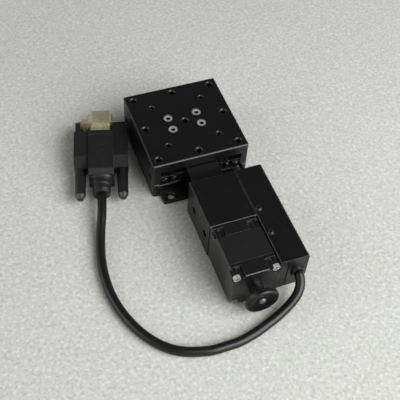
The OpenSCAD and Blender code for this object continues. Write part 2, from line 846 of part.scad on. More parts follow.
module motor_coils() {
    coil_x = rotor_d / 2 + rotor_gap + coil_gap;
    color(copper) on_axis() slot_places()
        block([coil_x, slot_out_r - coil_gap],
            [rear_bell_front - end_turn_l + coil_gap, front_bell_back + end_turn_l - coil_gap],
            [coil_gap - slot_w / 2, slot_w / 2 - coil_gap]);
}

module motor_rear_bell() {
    color(screw_black) difference() {
        union() {
            motor_slice(motor_back, rear_bell_front);
            on_axis() rod_y(shaft_boss_d, motor_back - shaft_boss_l, motor_back + over);
        }
        bolt_holes(motor_back, rear_bell_front);
        on_axis() {
            rod_y(journal_d + 1, motor_back - shaft_boss_l - over, rear_bell_front);
            rod_y(motor_bearing_d, motor_bearing_back, rear_bell_front + over);
            rod_y(end_turn_d, rear_bell_front - end_turn_l, rear_bell_front + over);
            bell_recesses(motor_back - over, rear_bell_front - bell_plate_t);
            motor_bolt_places() rod_y(bolt_notch_d, motor_back - over, motor_back + bolt_sink);
            for (z = [-motor_x, motor_x]) translate([0, motor_back, z]) edge_cut_x(rear_edge, motor_w);
        }
    }
}

module motor_bolts() {
    color(bright_steel) on_axis() motor_bolt_places()
        translate([0, motor_back + bolt_sink, 0]) rotate([90, 0, 0]) difference() {
            union() {
                cylinder(h = bolt_head[1], d = bolt_head[0]);
                translate([0, 0, -bolt_reach]) cylinder(h = bolt_reach, d = bolt_d);
            }
            for (turn = [0, 90]) rotate([0, 0, turn]) translate([-1.4, -0.3, bolt_head[1] * 0.45])
                cube([2.8, 0.6, bolt_head[1]]);
        }
}

module motor_bearings() {
    color(bright_steel) on_axis() {
        bearing(motor_bearing_d, journal_d, motor_bearing_front - bearing_w, bearing_w);
        bearing(motor_bearing_d, journal_d, motor_bearing_back, bearing_w);
    }
}

module motor_shaft() {
    color(bright_steel) on_axis() difference() {
        rod_y(journal_d, shaft_end, coupling_mid - shaft_gap / 2);
        rod_y(m25_button[0] + 2 * seat_gap, shaft_end - over, shaft_end + knob_screw_in);
    }
}

module motor_rotor() {
    color(rail_steel) on_axis() difference() {
        rod_y(rotor_d, rear_bell_front + rotor_in, front_bell_back - rotor_in);
        rod_y(journal_d + 2 * seat_gap, rear_bell_front, front_bell_back);
        tube_y(rotor_d + 2, rotor_d - 2, rotor_mid - 0.8, rotor_mid + 0.8);
    }
}

// ---------------------------------------------------------------- knob

module knob() {
    color(anodised) on_axis() difference() {
        union() {
            rod_y(knob_d, knob_face + knob_edge, knob_back - knob_edge);
            knob_cone(knob_face, 1);
            knob_cone(knob_back, -1);
            rod_y(hub_d, knob_back - over, knob_back + hub_l);
        }
        rod_y(journal_d + 2 * seat_gap, shaft_end, knob_back + hub_l + over);
        rod_y(m25_button[0] + 2 * seat_gap, knob_face, shaft_end + over);
        translate([0, knob_face, 0]) rotate([-90, 0, 0])
            cylinder(h = dish_t, d1 = dish_d, d2 = dish_floor_d);
    }
}

// Chamfered edge of the knob: the cone's small end is at y and it widens along side
module knob_cone(y, side) {
    translate([0, y, 0]) rotate([-side * 90, 0, 0])
        cylinder(h = knob_edge, d1 = knob_d - 2 * knob_edge, d2 = knob_d);
}

module knob_screw() {
    color(bright_steel) on_axis() translate([0, shaft_end - knob_web, 0]) rotate([90, 0, 0])
        button_screw(m25_button, knob_web + knob_screw_in - seat_gap);
}

// ---------------------------------------------------------------- sensor box

module sensor_bracket() {
    color(anodised) difference() {
        union() {
            block([bracket_x0, bracket_x1], [bracket_back, housing_front], [box_bottom, box_top - cover_t]);
            block([bracket_x1 - over, cover_x1 - cover_t - seat_gap], [bracket_back, housing_front],
                [box_bottom, foot_top]);
            for (y = board_screw_ys) translate([board_screw_x, y, box_bottom])
                cylinder(h = foot_t + standoff_h, d = 5);
        }
        for (y = bracket_screw_ys) translate([bracket_seat_x, y, bracket_screw_z]) rotate([0, 90, 0])
            sunk_hole(m3_cap, bracket_x1, bracket_t);
        for (y = cover_screw_ys) translate([cover_screw_x, y, box_top - cover_t - cover_screw_in - seat_gap])
            cylinder(h = cover_screw_in + over, d = m25_button[0] + 2 * seat_gap);
        for (y = board_screw_ys) translate([board_screw_x, y, box_bottom - over])
            cylinder(h = board_z, d = m2[0] + 2 * seat_gap);
    }
}

module bracket_screws() {
    color(screw_black) for (y = bracket_screw_ys)
        translate([bracket_seat_x, y, bracket_screw_z]) rotate([0, 90, 0])
            cap_screw(m3_cap, bracket_seat_x - housing_x + bracket_screw_in);
}

module cover_profile() {
    r = cover_bend_r;
    polygon(concat([[bracket_x0, box_bottom], [cover_x1, box_bottom]],
        arc(cover_x1 - r, box_top - r, r, 0, 90),
        [[bracket_x0 + housing_edge, box_top], [bracket_x0, box_top - housing_edge]]));
}

module sensor_cover() {
    inner_top = box_top - cover_t;
    inner_r = cover_bend_r - cover_t;
    inner_x = cover_x1 - cover_t;
    color(anodised) difference() {
        sweep_y(box_back, housing_front) cover_profile();
        block([bracket_x0 - over, bracket_x1], [box_back - over, housing_front + over],
            [box_bottom - over, inner_top]);
        block([bracket_x1 - over, inner_x], [box_back - over, housing_front + over],
            [box_bottom - over, foot_top]);
        sweep_y(box_back + cover_t, housing_front - cover_t)
            polygon(concat([[bracket_x1 - over, foot_top - over], [inner_x, foot_top - over]],
                arc(inner_x - inner_r, inner_top - inner_r, inner_r, 0, 90),
                [[bracket_x1 - over, inner_top]]));
        block([flag_x - flag_slot / 2, flag_x + flag_slot / 2], [housing_front - cover_t - over,
            housing_front + over], [guide_z - flag_w / 2 - 1, guide_z + flag_w / 2 + 1]);
        translate([outlet_x, 0, outlet_z])
            rod_y(grommet_hole_d, box_back - over, box_back + cover_t + over);
        for (y = cover_screw_ys) translate([cover_screw_x, y, inner_top - over])
            cylinder(h = cover_t + 2 * over, d = m25_button[0] + 2 * seat_gap);
    }
}

module cover_screws() {
    color(screw_black) for (y = cover_screw_ys) translate([cover_screw_x, y, box_top])
        button_screw(m25_button, cover_t + cover_screw_in);
}

module sensor_board() {
    color(board_green) difference() {
        block([board_x0, board_x1], [board_back, board_front], [board_z, board_top]);
        for (y = board_screw_ys) translate([board_screw_x, y, board_z - over])
            cylinder(h = board_t + 2 * over, d = m2[0] + 2 * seat_gap);
    }
}

module board_screws() {
    color(bright_steel) for (y = board_screw_ys) translate([board_screw_x, y, board_top])
        cap_screw(m2, board_t + standoff_h + foot_t - seat_gap);
}

// Forked light barrier: the flag passes between its arms
module limit_sensors() {
    outer = sensor_gap / 2 + sensor_arm;
    color(dark_plastic) for (y = sensor_ys) difference() {
        block([flag_x - outer, flag_x + outer], [y - sensor_l / 2, y + sensor_l / 2],
            [board_top, sensor_top]);
        block([flag_x - sensor_gap / 2, flag_x + sensor_gap / 2], [y - sensor_l, y + sensor_l],
            [guide_z - flag_w / 2 - 1, sensor_top + over]);
    }
}

module sensor_flag() {
    tab_x1 = flag_x + flag_t / 2;
    tab_y = -rail_y - flag_t;
    color(anodised) difference() {
        union() {
            block([tab_x1 - tab_w, tab_x1], [tab_y, -rail_y], [guide_z - flag_w / 2, guide_z + flag_w / 2]);
            block([tab_x1 - flag_t, tab_x1], [flag_tip, tab_y + over / 2],
                [guide_z - flag_w / 2, guide_z + flag_w / 2]);
        }
        translate([wall_x - rail_w * end_screw_share, 0, guide_z])
            rod_y(m2_button[0] + 2 * seat_gap, tab_y - over, -rail_y + over);
    }
}

// ---------------------------------------------------------------- cable and grommet

module cable_grommet() {
    taper = 1.2;
    color(dark_plastic) translate([outlet_x, box_back, outlet_z]) {
        rod_y(grommet_hole_d - 2 * seat_gap, -over / 2, cover_t + over / 2);
        rod_y(grommet_d, cover_t, cover_t + taper);
        rotate([90, 0, 0]) cylinder(h = grommet_face, d1 = grommet_d, d2 = cable_d + 2);
    }
}

// Unit vector along a list's points at index i
function unit(v) = v / norm(v);
function heading(p, i) = i == 0 ? cable_leave
    : i == len(p) - 1 ? cable_arrive
    : unit(p[i + 1] - p[i - 1]);

module cable() {
    n = len(cable_route);
    rings = [for (i = [0 : n - 1])
        let (ahead = heading(cable_route, i), side = unit(cross(ahead, [0, 0, 1])),
            up = cross(side, ahead))
        for (k = [0 : cable_sides - 1])
            let (a = 360 * k / cable_sides)
            cable_route[i] + cable_r * (cos(a) * side + sin(a) * up)];
    tube = [for (i = [0 : n - 2], k = [0 : cable_sides - 1])
        let (a = i * cable_sides + k, b = i * cable_sides + (k + 1) % cable_sides)
        each [[a, b, b + cable_sides], [a, b + cable_sides, a + cable_sides]]];
    first = [for (k = [cable_sides - 1 : -1 : 0]) k];
    last = [for (k = [0 : cable_sides - 1]) (n - 1) * cable_sides + k];
    color(dark_plastic) polyhedron(rings, concat(tube, [first, last]));
}

// ---------------------------------------------------------------- plug

module in_plug() {
    translate([plug_x, plug_y, 0]) rotate([0, 0, plug_turn]) children();
}

module at_thumb(side) {
    translate([side * thumb_pitch / 2, 0, plug_z]) children();
}

// Outline of the nine-way shell in XZ with its wide side down, made smaller all round by inset
module shell_outline(inset) {
    r = shell_corner_r - inset;
    foot = shell_w / 2 - inset;
    h = shell_h / 2 - inset;
    top = foot - tan(shell_lean) * 2 * h;
    polygon(concat(arc(top - r, h - r, r, shell_lean, 90), arc(r - top, h - r, r, 90, 180 - shell_lean),
        arc(r - foot, r - h, r, 180 - shell_lean, 270), arc(foot - r, r - h, r, 270, 360 + shell_lean)));
}

// Side of the hood seen along X, as [y, z] from its middle plane
module hood_side_profile() {
    z = hood_side_z;
    y0 = hood_back + shoulder_l;
    polygon([[0, z], [y0, z], [hood_back, z - shoulder_drop], [hood_back, shoulder_drop - z],
        [y0, -z], [0, -z]]);
}

// A profile of [y, z] points swept along X between two ends
module sweep_x(x0, x1) {
    translate([x0, 0, 0]) rotate([90, 0, 90]) linear_extrude(x1 - x0) children();
}

module hood_outline() {
    r = 2;
    ear_x = shell_flange_w / 2;
    polygon(concat([[ear_x, -shell_flange_t], [ear_x, ear_back + 1], [hood_x, ear_back - 1]],
        arc(hood_x - r, hood_back + r, r, 0, -90), arc(r - hood_x, hood_back + r, r, 270, 180),
        [[-hood_x, ear_back - 1], [-ear_x, ear_back + 1], [-ear_x, -shell_flange_t]]));
}

module hood_middle() {
    z = hood_t / 2;
    sweep_x(-hood_mid_x, hood_mid_x) polygon([[ear_back, -z], [ear_back, z - 0.6], [ear_back - 0.6, z],
        [mid_back + mid_slope_l, z], [mid_back, z - mid_drop], [mid_back, mid_drop - z],
        [mid_back + mid_slope_l, -z]]);
}

module connector_hood() {
    window_right = shell_w / 2 - tan(shell_lean) * shell_h / 2;
    color(dark_plastic) in_plug() difference() {
        union() {
            translate([0, 0, plug_z]) intersection() {
                sweep_x(-hood_x, hood_x) hood_side_profile();
                translate([0, 0, -hood_t]) linear_extrude(2 * hood_t) hood_outline();
            }
            translate([0, 0, plug_z]) hood_middle();
        }
        translate([0, 0, plug_z]) {
            block([-window_left, window_right], [ear_back, over], [-hood_t, hood_t]);
            for (side = [-1, 1]) translate([0, ear_back - mid_groove[0], side * hood_t / 2])
                cube([hood_w, mid_groove[1], mid_groove[1]], center = true);
            sweep_y(ear_back - shell_in, over) shell_outline(-insert_gap);
        }
        for (side = [-1, 1]) at_thumb(side) rod_y(jack_d + 2 * tunnel_gap, hood_back - over, over);
        for (side = [-1, 1]) translate([0, grip_y, plug_z + side * hood_t / 2]) grip_mark();
    }
}

// Small recessed triangle in the middle of the hood
module grip_mark() {
    rotate([0, 0, -90]) cylinder(h = 0.8, r = grip_r, $fn = 3, center = true);
}

module strain_relief() {
    relief_front = mid_back;
    step = (relief_d0 - relief_d1) / relief_l;
    color(dark_plastic) in_plug() translate([0, 0, plug_z]) difference() {
        translate([0, relief_front, 0]) rotate([90, 0, 0])
            cylinder(h = relief_l, d1 = relief_d0, d2 = relief_d1);
        for (k = [1 : relief_grooves]) let (y = relief_front - k * relief_pitch)
            tube_y(relief_d0 + 2, relief_d0 - step * k * relief_pitch - 2 * relief_groove,
                y - relief_groove / 2, y + relief_groove / 2);
    }
}

module connector_shell() {
    color(plated) in_plug() translate([0, 0, plug_z]) difference() {
        union() {
            sweep_y(ear_back - shell_in, shell_reach) shell_outline(0);
            sweep_y(-shell_flange_t, 0)
                rounded_square(shell_flange_w, shell_flange_h, flange_corner_r);
        }
        sweep_y(ear_back - shell_in - over, shell_reach + over) shell_outline(shell_t);
        for (side = [-1, 1]) translate([side * thumb_pitch / 2, 0, 0])
            rod_y(jack_d + 2 * tunnel_gap, -shell_flange_t - over, over);
    }
}

module contact_places() {
    for (k = [-2 : 2]) translate([k * contact_pitch, 0, -contact_row / 2]) children();
    for (k = [-1.5 : 1.5]) translate([k * contact_pitch, 0, contact_row / 2]) children();
}

module connector_insert() {
    color(insert_cream) in_plug() translate([0, 0, plug_z]) difference() {
        sweep_y(ear_back - shell_in, shell_reach - 0.2) shell_outline(shell_t + insert_gap);
        contact_places() rod_y(contact_d + 2 * seat_gap, shell_reach - 0.2 - contact_l, shell_reach + over);
    }
}

module connector_contacts() {
    color(bronze) in_plug() translate([0, 0, plug_z]) contact_places()
        tube_y(contact_d, contact_d * 0.6, shell_reach - 0.2 - contact_l, shell_reach - 0.8);
}

module thumbscrew(side) {
    grip_front = hood_back - pass_gap;
    grip_back = grip_front - thumb_l;
    color(dark_plastic) in_plug() at_thumb(side) difference() {
        union() {
            rod_y(jack_d, grip_back + 1, jack_reach);
            translate([0, grip_front, 0]) rotate([90, 0, 0])
                cylinder(h = thumb_l, d1 = thumb_d, d2 = thumb_d - 0.8);
            translate([0, grip_back, 0]) rotate([90, 0, 0])
                cylinder(h = thumb_cap, d1 = thumb_d - 1.4, d2 = thumb_d - 2.8);
        }
        for (k = [1 : flute_count]) rotate([0, k * 360 / flute_count, 0])
            translate([thumb_d / 2 + flute_d * 0.2, 0, 0])
                rod_y(flute_d, grip_back - over, grip_front - thumb_l * 0.12, $fn = 16);
        block([-thumb_d, thumb_d], [grip_back - thumb_cap - over, grip_back - thumb_cap + 1.4], [-0.4, 0.4]);
    }
}

module thumbscrew_left() {
    thumbscrew(-1);
}

module thumbscrew_right() {
    thumbscrew(1);
}

// ---------------------------------------------------------------- table

module table_profile() {
    foot = lip_h + foot_gap;
    c = top_chamfer;
    polygon([[half_w, foot], [half_w, stage_h - c], [half_w - c, stage_h], [c - half_w, stage_h],
        [-half_w, stage_h - c], [-half_w, foot], [-wall_x, foot], [-wall_x, plate_z],
        [wall_x, plate_z], [wall_x, foot]]);
}

// The table seen along X, with its chamfered top edges
module table_end_profile() {
    c = top_chamfer;
    polygon([[-half_l, 0], [-half_l, stage_h - c], [c - half_l, stage_h], [half_l - c, stage_h],
        [half_l, stage_h - c], [half_l, 0]]);
}

module table() {
    color(anodised) difference() {
        intersection() {
            sweep_y(-half_l, half_l) table_profile();
            sweep_x(-half_w, half_w) table_end_profile();
            linear_extrude(stage_h) rounded_square(stage_w, stage_l, corner_r);
        }
        translate([0, 0, stage_h]) {
            for (x = [-1 : 1], y = [-1 : 1])
                translate([x * outer_grid / 2, y * outer_grid / 2, 0]) tapped_hole(tap_m4, tap_depth);
            for (x = [-1, 1], y = [-1, 1])
                translate([x * inner_grid / 2, y * inner_grid / 2, 0]) tapped_hole(tap_m3, tap_depth);
        }
        table_screw_places() sunk_hole(m3_cap, plate_t, plate_t);
        both_sides() for (y = rail_screw_ys)
            translate([wall_x + wall_seat, y, guide_z]) rotate([0, 90, 0])
                sunk_hole(m25_cap, wall_seat + over, wall_t);
    }
}

module table_screw_places() {
    for (x = [-1, 1], y = [-1, 1])
        translate([x * bracket_screw_w / 2, y * bracket_screw_l / 2, table_seat_z]) children();
}

module table_screws() {
    color(bright_steel) table_screw_places() cap_screw(m3_cap, table_seat_z - bracket_bottom);
}

module outer_rail() {
    color(rail_steel) rail(outer_rail_x, -1, wall_x, m25_cap[0]);
}

module outer_rail_right() {
    outer_rail();
}

module outer_rail_left() {
    mirror([1, 0, 0]) outer_rail();
}

module outer_rail_screws() {
    color(screw_black) both_sides() for (y = rail_screw_ys)
        translate([wall_x + wall_seat, y, guide_z]) rotate([0, 90, 0])
            cap_screw(m25_cap, wall_seat + rail_screw_in - seat_gap);
}

module outer_rail_end_screws() {
    x = wall_x - rail_w * end_screw_share;
    color(screw_black) {
        rail_end_screw(x, -1, flag_t);
        rail_end_screw(x, 1, 0);
        for (end = [-1, 1]) rail_end_screw(-x, end, 0);
    }
}

module nut_bracket() {
    color(anodised) difference() {
        union() {
            block([-bracket_x, bracket_x], [nut_y, -nut_y], [bracket_bottom, plate_z]);
            block([-boss_x, boss_x], [nut_y, -nut_y], [boss_bottom, bracket_bottom + over]);
        }
        on_axis() {
            rod_y(nut_d + 2 * seat_gap, nut_y - over, over - nut_y);
            nut_screw_places()
                rod_y(m2_cap[0] + 2 * seat_gap, nut_y - over, nut_y + nut_screw_in + seat_gap);
        }
        table_screw_places() translate([0, 0, -stage_h])
            cylinder(h = stage_h, d = m3_cap[0] + 2 * seat_gap);
    }
}

module nut_screw_places() {
    for (turn = [45 : 90 : 315]) rotate([0, turn, 0]) translate([nut_screw_r, 0, 0]) children();
}

module lead_nut() {
    color(bronze) on_axis() difference() {
        union() {
            rod_y(nut_d, nut_y - over, -nut_y);
            intersection() {
                rod_y(nut_flange_d, nut_y - nut_flange_t, nut_y);
                block([-boss_x, boss_x], [nut_y - nut_flange_t, nut_y], [-nut_flange_d, nut_flat]);
            }
        }
        rod_y(screw_d + 2 * run_gap, nut_y - nut_flange_t - over, over - nut_y);
        nut_screw_places() rod_y(m2_cap[0] + 2 * seat_gap, nut_y - nut_flange_t - over, nut_y + over);
    }
}

module nut_screws() {
    color(screw_black) on_axis() nut_screw_places()
        translate([0, nut_y - nut_flange_t, 0]) rotate([90, 0, 0])
            cap_screw(m2_cap, nut_flange_t + nut_screw_in);
}

// ---------------------------------------------------------------- lead screw and coupling

module lead_screw() {
    color(bright_steel) on_axis() {
        rod_y(journal_d, coupling_mid + shaft_gap / 2, shoulder_y + over);
        rod_y(screw_d, shoulder_y + run_gap, thread_end);
        rod_y(tail_d, thread_end - over, support_back);
    }
}

module lock_nut() {
    color(bright_steel) on_axis() difference() {
        tube_y(lock_nut_d, journal_d + 2 * seat_gap, housing_front - run_gap - lock_nut_l,
            housing_front - run_gap);
        for (turn = [0 : 90 : 270]) rotate([0, turn, 0])
            block([lock_nut_d / 2 - 1, lock_nut_d], [housing_front - 2 * lock_nut_l, housing_front + over],
                [-0.8, 0.8]);
    }
}

module coupling() {
    color(rail_steel) on_axis() difference() {
        rod_y(coupling_d, coupling_back, coupling_front);
        rod_y(journal_d + 2 * seat_gap, coupling_back - over, coupling_front + over);
        rod_y(journal_d + 1.6, coupling_mid - slit_zone, coupling_mid + slit_zone);
        for (y = set_screw_ys) translate([0, y, 0]) rod_x(set_screw_d + 2 * seat_gap, -coupling_d, 0);
        for (k = [-1.5 : 1.5]) rotate([0, k * 180 + 90, 0])
            block([slit_web - coupling_d / 2, coupling_d], [coupling_mid + k * slit_pitch - slit_w / 2,
                coupling_mid + k * slit_pitch + slit_w / 2], [-coupling_d, coupling_d]);
    }
}

module coupling_set_screws() {
    color(screw_black) on_axis() for (y = set_screw_ys)
        translate([-journal_d / 2 - seat_gap, y, 0]) rotate([0, -90, 0]) difference() {
            cylinder(h = set_screw_l, d = set_screw_d);
            translate([0, 0, set_screw_l / 2]) cylinder(h = set_screw_l, d = set_screw_d / 2, $fn = 6);
        }
}

// ---------------------------------------------------------------- roller cages

module cage() {
    color(bronze) difference() {
        block([roller_x - cage_t / 2, roller_x + cage_t / 2], [-cage_y, cage_y],
            [guide_z - cage_h / 2, guide_z + cage_h / 2]);
        for (y = roller_ys) translate([roller_x, y, guide_z])
            cube([2 * cage_t, roller_d + 2 * roller_slack, roller_d * sqrt(2) + 2 * roller_slack],
                center = true);
    }
}

module rollers() {
    color(bright_steel) for (k = [0 : roller_count - 1])
        translate([roller_x, roller_ys[k], guide_z]) rotate([0, k % 2 == 0 ? 45 : -45, 0])
            cylinder(h = roller_l, d = roller_d, center = true);
}

module cage_right() {
    cage();
}

module cage_left() {
    mirror([1, 0, 0]) cage();
}

module rollers_right() {
    rollers();
}

module rollers_left() {
    mirror([1, 0, 0]) rollers();
}

base();
inner_rail_left();
inner_rail_right();
inner_rail_screws();
inner_rail_end_screws();
bearing_housing();
bearing_housing_screws();
screw_bearings();
rear_support();
rear_support_screws();
tail_bearing();
coupling_housing();
housing_screws();
motor_front_bell();
motor_stator();
motor_coils();
motor_rear_bell();
motor_bolts();
motor_bearings();
sensor_bracket();
bracket_screws();
sensor_cover();
cover_screws();
sensor_board();
board_screws();
limit_sensors();
cable_grommet();
cable();
connector_hood();
strain_relief();
connector_shell();
connector_insert();
connector_contacts();
thumbscrew_left();
thumbscrew_right();
table();
outer_rail_left();
outer_rail_right();
outer_rail_screws();
outer_rail_end_screws();
nut_bracket();
lead_nut();
nut_screws();
table_screws();
sensor_flag();
lead_screw();
lock_nut();
coupling();
coupling_set_screws();
motor_shaft();
motor_rotor();
knob();
knob_screw();
cage_left();
rollers_left();
cage_right();
rollers_right();
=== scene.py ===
"""Looks of the motorised linear stage: camera, strain relief, cable, materials and studio."""

import json
import math

import bpy
from mathutils import Matrix, Vector


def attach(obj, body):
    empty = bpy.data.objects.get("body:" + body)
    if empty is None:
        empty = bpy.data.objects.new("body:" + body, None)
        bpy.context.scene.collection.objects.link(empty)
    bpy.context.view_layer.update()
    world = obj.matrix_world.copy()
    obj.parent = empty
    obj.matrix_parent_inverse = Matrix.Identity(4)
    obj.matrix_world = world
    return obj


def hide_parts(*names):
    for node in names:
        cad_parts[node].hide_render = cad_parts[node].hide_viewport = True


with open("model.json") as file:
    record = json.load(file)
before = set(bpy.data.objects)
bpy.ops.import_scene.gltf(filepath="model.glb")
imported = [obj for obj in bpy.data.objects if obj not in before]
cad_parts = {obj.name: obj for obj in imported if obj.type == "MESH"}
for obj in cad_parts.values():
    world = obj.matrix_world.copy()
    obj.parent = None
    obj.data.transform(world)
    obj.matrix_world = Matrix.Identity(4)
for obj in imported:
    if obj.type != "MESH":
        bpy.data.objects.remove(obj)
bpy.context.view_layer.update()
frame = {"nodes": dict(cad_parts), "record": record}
NODES = frame["nodes"]
MM = 0.001
UP = Vector((0, 0, 1))
FLOOR_CENTRE = (0, -0.05, 0)  # on the floor under the middle of the stage and its motor


def new_object(name, verts, faces):
    """An object with a mesh of these corners and faces, put in the scene."""
    mesh = bpy.data.meshes.new(name)
    mesh.from_pydata(verts, [], faces)
    mesh.update()
    obj = bpy.data.objects.new(name, mesh)
    bpy.context.scene.collection.objects.link(obj)
    return obj


def ring_body(name, verts, sides, outward):
    """A closed body through rings of vertices, smooth along it and flat at both ends.

    Its faces point outwards or inwards.
    """
    last = len(verts) // sides - 1
    faces = []
    for i in range(last):
        for k in range(sides):
            a, b = i * sides + k, i * sides + (k + 1) % sides
            faces.append((a, a + sides, b + sides, b) if outward else (a, b, b + sides, a + sides))
    start = tuple(range(sides))
    end = tuple(last * sides + k for k in range(sides))
    faces += [start, end[::-1]] if outward else [start[::-1], end]
    obj = new_object(name, verts, faces)
    for poly in obj.data.polygons[:-2]:
        poly.use_smooth = True
    return obj


# ------------------------------------------------------------------ camera

SENSOR_MM = 36
PHOTO_PX = 400


def place_camera(azimuth, elevation, roll, focal_px, target, distance):
    """A camera at the photograph's angle: degrees, and metres in the part's frame."""
    az, el, rl = (math.radians(a) for a in (azimuth, elevation, roll))
    back = Vector((math.sin(az) * math.cos(el), -math.cos(az) * math.cos(el), math.sin(el)))
    level = (-back).cross(UP).normalized()
    upright = level.cross(-back)
    right = math.cos(rl) * level + math.sin(rl) * upright
    up = math.cos(rl) * upright - math.sin(rl) * level
    data = bpy.data.cameras.new("camera")
    data.sensor_width = SENSOR_MM
    data.lens = SENSOR_MM * focal_px / PHOTO_PX
    data.clip_start, data.clip_end = 0.01, 10
    cam = bpy.data.objects.new("camera", data)
    bpy.context.scene.collection.objects.link(cam)
    turn = Matrix((right, up, back)).transposed()
    cam.matrix_world = Matrix.Translation(Vector(target) + back * distance) @ turn.to_4x4()
    bpy.context.scene.camera = cam


place_camera(
    azimuth=-23.91, elevation=52.22, roll=4.62,
    focal_px=751, target=(-0.00377, -0.04064, 0), distance=0.45269,
)

# ------------------------------------------------------------------ signal cable

CABLE_D = 0.0054
CABLE_ROUTE = [
    Vector(p) * MM
    for p in [
        (25.3, -114.3, 14.3), (25, -117.4, 13.2), (23.8, -120.6, 11.4), (21.4, -123.4, 9.4),
        (17.8, -125.8, 7.4), (13, -128, 5.4), (7.2, -130.2, 3.8), (0, -132.6, 3),
        (-9, -135.4, 2.8), (-20, -137.2, 2.8), (-30, -137.2, 2.8), (-40.4, -135.2, 2.8),
        (-49.4, -131.6, 2.8), (-57, -125.6, 2.8), (-63.6, -117, 2.8), (-68.8, -106, 2.8),
        (-72, -94.5, 2.8), (-73.2, -82, 2.8), (-72.4, -69, 2.8), (-70, -57.3, 3),
        (-66.6, -46, 4.4), (-63.2, -36.6, 6.6), (-59.8468, -24.677, 7.75),
    ]
]
CABLE_LEAVE = Vector((0, -1, 0))
CABLE_ARRIVE = Vector((0.258819, 0.965926, 0))  # along the plug's axis
STEPS_PER_POINT = 6
CABLE_SIDES = 24


def gentle(before, after):
    """Slope of one coordinate between two steps, level where the coordinate turns back."""
    return 0 if before * after <= 0 else (before + after) / 2


def smooth_path(points, first, last, steps):
    """Hermite curve through the points, with given directions at the two ends."""
    n = len(points)
    slopes = []
    for i in range(n):
        if i == 0:
            slopes.append(first * (points[1] - points[0]).length)
        elif i == n - 1:
            slopes.append(last * (points[-1] - points[-2]).length)
        else:
            came, goes = points[i] - points[i - 1], points[i + 1] - points[i]
            slopes.append(Vector([gentle(a, b) for a, b in zip(came, goes)]))
    path = []
    for i in range(n - 1):
        for k in range(steps):
            t = k / steps
            path.append(
                (2 * t**3 - 3 * t**2 + 1) * points[i]
                + (t**3 - 2 * t**2 + t) * slopes[i]
                + (3 * t**2 - 2 * t**3) * points[i + 1]
                + (t**3 - t**2) * slopes[i + 1]
            )
    path.append(points[-1].copy())
    return path


def tube(name, path, radius, sides, first, last):
    """A closed tube with one ring of vertices at each point of the path.

    Its faces point inwards, so a viewer that hides back faces shows it inside out.
    """
    verts = []
    side = first.cross(UP).normalized()
    for i, p in enumerate(path):
        if i == 0:
            ahead = first
        elif i == len(path) - 1:
            ahead = last
        else:
            ahead = (path[i + 1] - path[i - 1]).normalized()
        side = (side - ahead * side.dot(ahead)).normalized()
        up = side.cross(ahead)
        for k in range(sides):
            a = 2 * math.pi * k / sides
            verts.append(p + radius * (math.cos(a) * side + math.sin(a) * up))
    return ring_body(name, verts, sides, outward=False)


# ------------------------------------------------------------------ the plug's strain relief

SLEEVE_L = 0.011
SLEEVE_BACK = (0.0051, 0.0047)  # half width and half height where the cable enters
SLEEVE_FRONT = (0.0061, 0.0056)  # the same where it meets the hood
SLEEVE_FLARE = 0.0007
FLARE_FROM = 0.88  # share of the length where the flare begins
SQUARER = 0.7  # how much squarer the oval grows towards the front
GROOVES = (0.0014, 0.0053, 0.0092)  # distance of the grooves from the back end
GROOVE_HALF, GROOVE_DEPTH = 0.00062, 0.0008
GROOVE_FLANK = 0.4  # share of a groove's half width that its flank takes
ROUND_OFF = 0.0006


def groove_cut(t):
    """How deep the grooves cut into the sleeve at a distance from its back end."""
    nearest = min(abs(t - g) for g in GROOVES)
    flank = min(max((GROOVE_HALF - nearest) / (GROOVE_HALF * GROOVE_FLANK), 0), 1)
    return GROOVE_DEPTH * flank * flank * (3 - 2 * flank)


def grooved_sleeve(name, back_end, ahead, rings=66, sides=48):
    """The plug's strain relief: a tapered oval sleeve with grooves round it and a flared front."""
    side = ahead.cross(UP)
    verts = []
    for i in range(rings + 1):
        share = i / rings
        t = SLEEVE_L * share
        swell = SLEEVE_FLARE * max(share - FLARE_FROM, 0) / (1 - FLARE_FROM) - groove_cut(t)
        swell -= ROUND_OFF - math.sqrt(ROUND_OFF**2 - max(ROUND_OFF - t, 0) ** 2)
        half_w = SLEEVE_BACK[0] + (SLEEVE_FRONT[0] - SLEEVE_BACK[0]) * share + swell
        half_h = SLEEVE_BACK[1] + (SLEEVE_FRONT[1] - SLEEVE_BACK[1]) * share + swell
        power = 2 / (2 + SQUARER * share)
        for k in range(sides):
            a = 2 * math.pi * k / sides
            across = math.copysign(abs(math.cos(a)) ** power, math.cos(a))
            upward = math.copysign(abs(math.sin(a)) ** power, math.sin(a))
            offset = half_w * across * side + half_h * upward * UP
            verts.append(back_end + t * ahead + offset)
    return ring_body(name, verts, sides, outward=True)


sleeve_piece = grooved_sleeve("grooved_sleeve", CABLE_ROUTE[-1], CABLE_ARRIVE)
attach(sleeve_piece, "frame")
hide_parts("strain_relief")

cable_path = smooth_path(CABLE_ROUTE, CABLE_LEAVE, CABLE_ARRIVE, STEPS_PER_POINT)
cable_piece = tube(
    "signal_cable", cable_path, CABLE_D / 2, CABLE_SIDES, CABLE_LEAVE, CABLE_ARRIVE
)
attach(cable_piece, "frame")
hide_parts("cable")

# ------------------------------------------------------------------ materials

EDGE_SHARP = 0.12  # how far a rounded normal leans where the wear is full
NOISE_LOW, NOISE_HIGH = 0.3, 0.7  # most of a noise lies between these
TONE_STEP = 0.0001  # length over which one tone changes to the next


